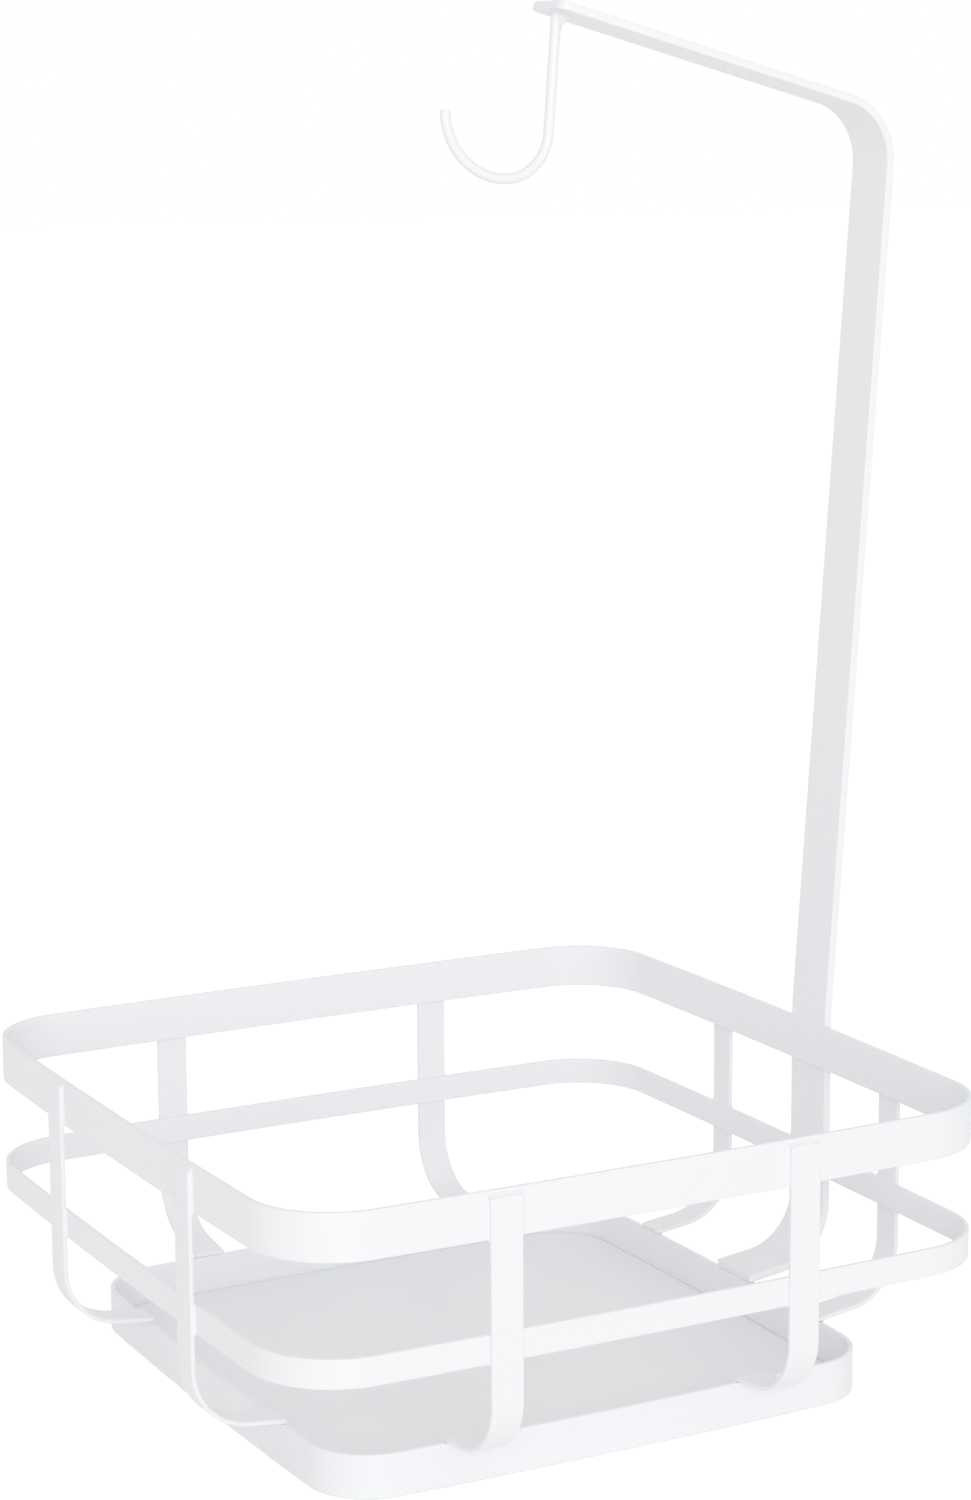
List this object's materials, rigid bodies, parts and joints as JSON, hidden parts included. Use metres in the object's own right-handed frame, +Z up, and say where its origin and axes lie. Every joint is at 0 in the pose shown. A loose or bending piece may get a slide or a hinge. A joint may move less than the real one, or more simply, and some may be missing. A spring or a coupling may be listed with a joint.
{
  "type": "fruit bowl with banana hanger",
  "caption": "Open square fruit bowl of bent flat strip on a solid base, with a tall bent bar and wire hook that holds bananas above the fruit.",
  "frame": {"origin": "centre of the base on the table, below the middle of the bowl", "axes": "+Z up; +X from the bowl's centre to the side that carries the hanger; Y along that side; the arm reaches back over the bowl towards -X"},
  "size_m": [0.2846, 0.262, 0.4547],
  "materials": {
    "powder_coat": "white powder coat, satin, smooth"
  },
  "bodies": {
    "root": {"top_rim": "powder_coat", "middle_band": "powder_coat", "base_ring": "powder_coat", "floor_plate": "powder_coat", "right_strap_near": "powder_coat", "right_strap_far": "powder_coat", "back_strap_right": "powder_coat", "back_strap_left": "powder_coat", "left_strap_far": "powder_coat", "left_strap_near": "powder_coat", "front_strap_left": "powder_coat", "front_strap_right": "powder_coat", "hanger": "powder_coat", "hook": "powder_coat"}
  },
  "joints": []
}
